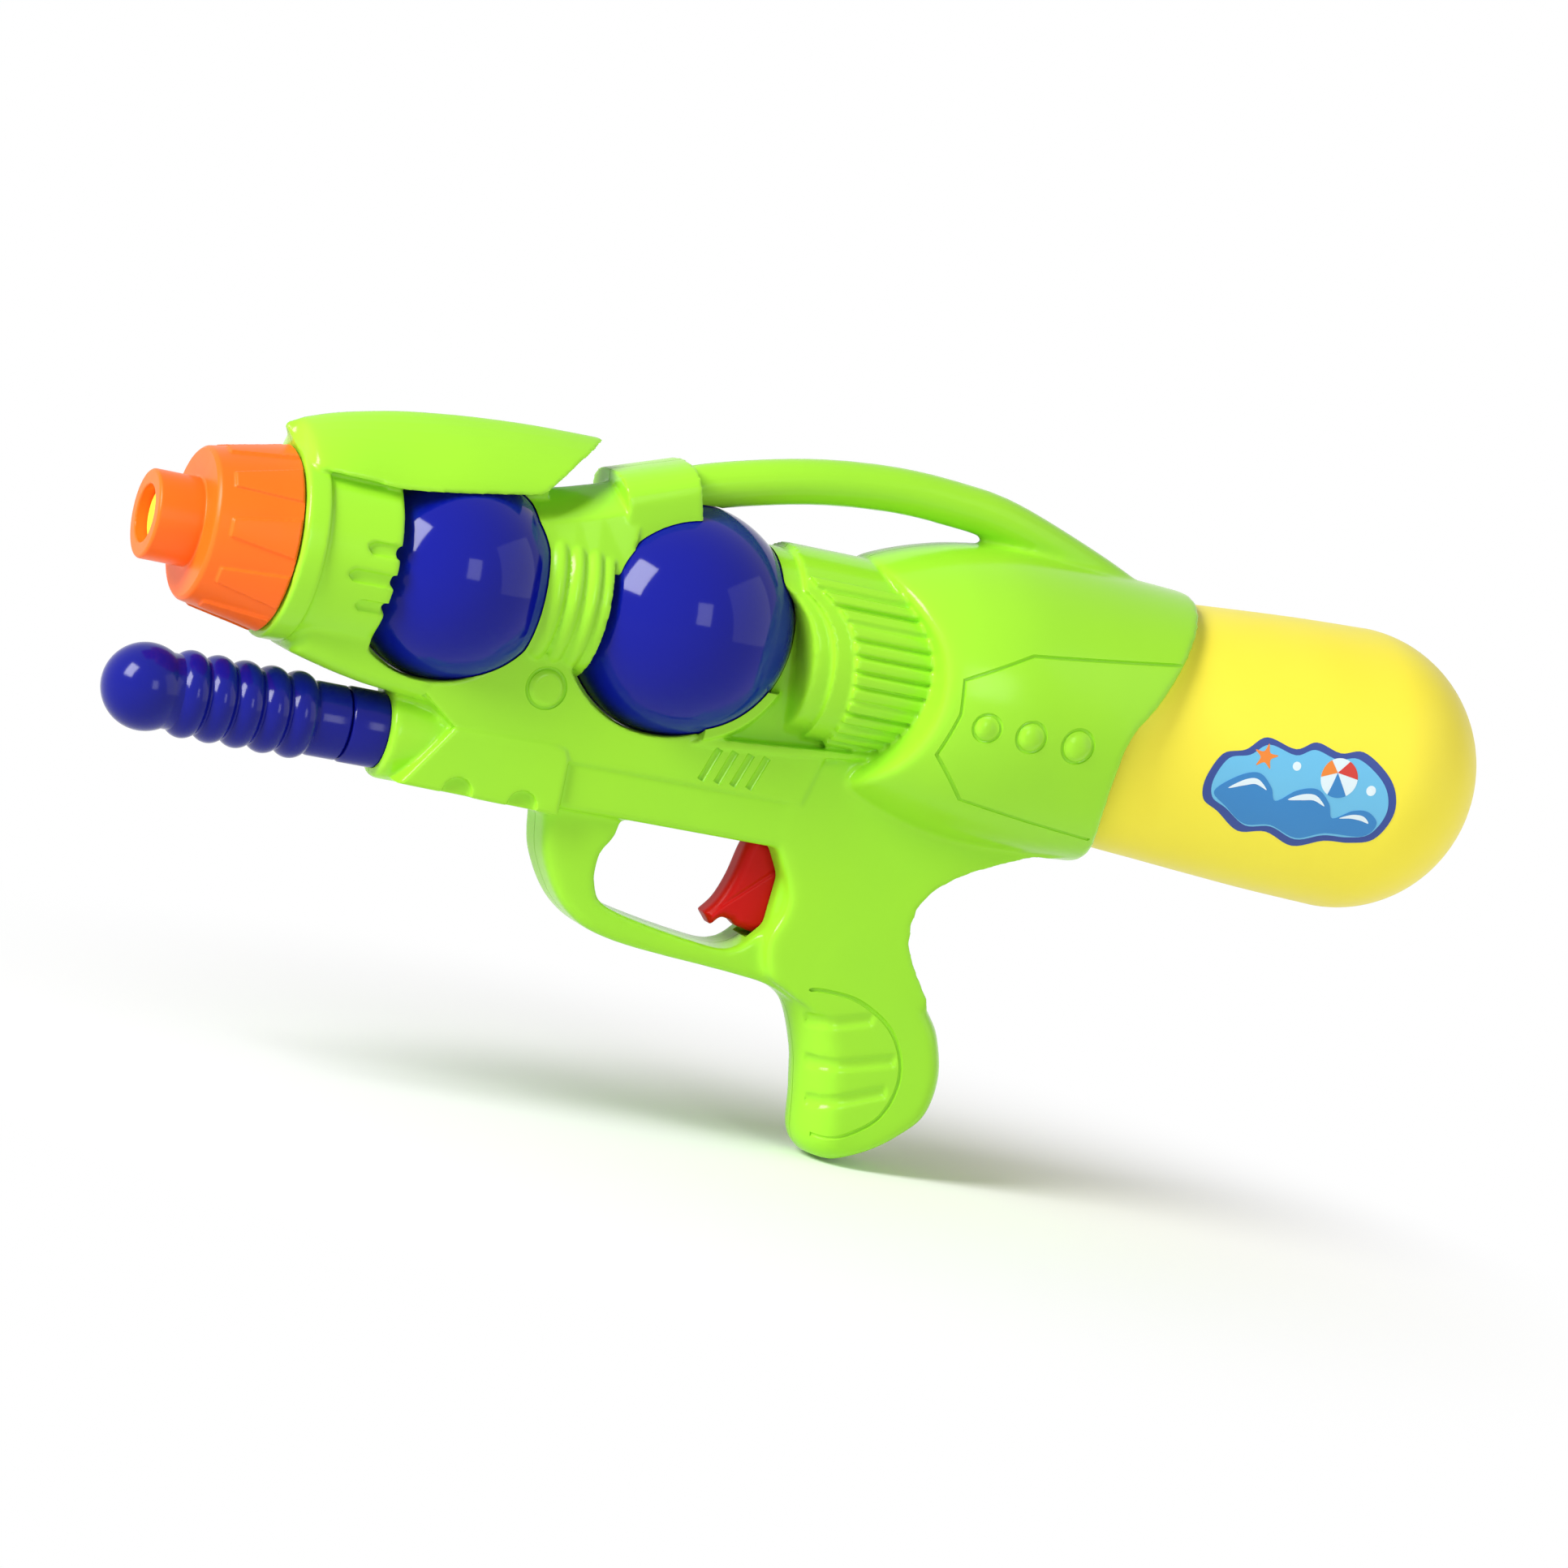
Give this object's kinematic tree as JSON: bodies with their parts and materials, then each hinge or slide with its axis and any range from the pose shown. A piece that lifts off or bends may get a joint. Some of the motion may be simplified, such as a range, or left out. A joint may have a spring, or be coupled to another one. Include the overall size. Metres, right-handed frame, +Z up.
{
  "type": "water squirter",
  "caption": "Pump-up toy water squirter: two-half body with carry handle and grip, hand pump under the barrel, nozzle cone, trigger valve and a round removable tank.",
  "frame": {"origin": "middle of the length and width, at the toe of the grip", "axes": "+X from the nozzle towards the tank along the barrel, +Y to the right side when aiming, +Z up"},
  "size_m": [0.3616, 0.077, 0.1735],
  "materials": {
    "green_abs": "moulded ABS, gloss",
    "blue_abs": "moulded ABS, high gloss",
    "pump_blue_abs": "moulded ABS, gloss",
    "orange_abs": "moulded ABS, soft gloss",
    "yellow_plastic": "blown polyethylene, soft gloss",
    "red_abs": "moulded ABS, gloss",
    "white_plastic": "moulded plastic, plain",
    "clear_hose": "soft clear PVC hose",
    "black_rubber": "matt rubber",
    "steel": "plated steel"
  },
  "bodies": {
    "body": {"body_shell_left": "green_abs", "body_shell_right": "green_abs", "nozzle_cone": "orange_abs", "nozzle_jet": "yellow_plastic", "front_ball_left": "blue_abs", "front_ball_right": "blue_abs", "rear_ball_left": "blue_abs", "rear_ball_right": "blue_abs", "pump_cap": "pump_blue_abs", "pump_cylinder": "white_plastic", "cylinder_end_cap": "white_plastic", "check_valve_disc": "black_rubber", "air_hose": "clear_hose", "water_hose": "clear_hose", "inlet_hose": "clear_hose", "trigger_pin": "steel", "valve_body": "white_plastic", "valve_plug": "white_plastic", "stem_seal": "black_rubber", "tank_socket": "white_plastic", "tank_seal": "black_rubber", "dip_tube": "clear_hose", "dip_strainer": "white_plastic", "screw_barrel": "steel", "screw_waist": "steel", "screw_saddle": "steel", "screw_drum": "steel", "screw_guard": "steel", "screw_grip_top": "steel", "screw_grip_toe": "steel"},
    "pump": {"pump_handle": "pump_blue_abs", "pump_rod": "white_plastic", "pump_piston": "white_plastic", "piston_seal": "black_rubber"},
    "trigger": {"trigger": "red_abs"},
    "valve": {"valve_stem": "white_plastic", "valve_spring": "steel"},
    "tank": {"tank": "yellow_plastic"}
  },
  "joints": [
    {"name": "pump_stroke", "type": "slide", "parent": "body", "child": "pump", "axis": [-1, 0, 0], "range_m": [0, 0.07]},
    {"name": "trigger_pull", "type": "hinge", "parent": "body", "child": "trigger", "pos_m": [-0.00515, 0, 0.07858], "axis": [0, -1, 0], "range_deg": [0, 10], "stiffness_Nm_per_rad": 0.3, "springref_deg": -5.73},
    {"name": "valve_stroke", "type": "slide", "parent": "body", "child": "valve", "axis": [-1, 0, 0], "range_m": [0, 0.0062], "deforming": ["valve_spring"]},
    {"name": "tank_remove", "type": "slide", "parent": "body", "child": "tank", "axis": [1, 0, 0], "range_m": [0, 0.12]}
  ],
  "couplings": [
    {"joint": "valve_stroke", "follows": "trigger_pull", "m_per_rad": 0.0342}
  ]
}
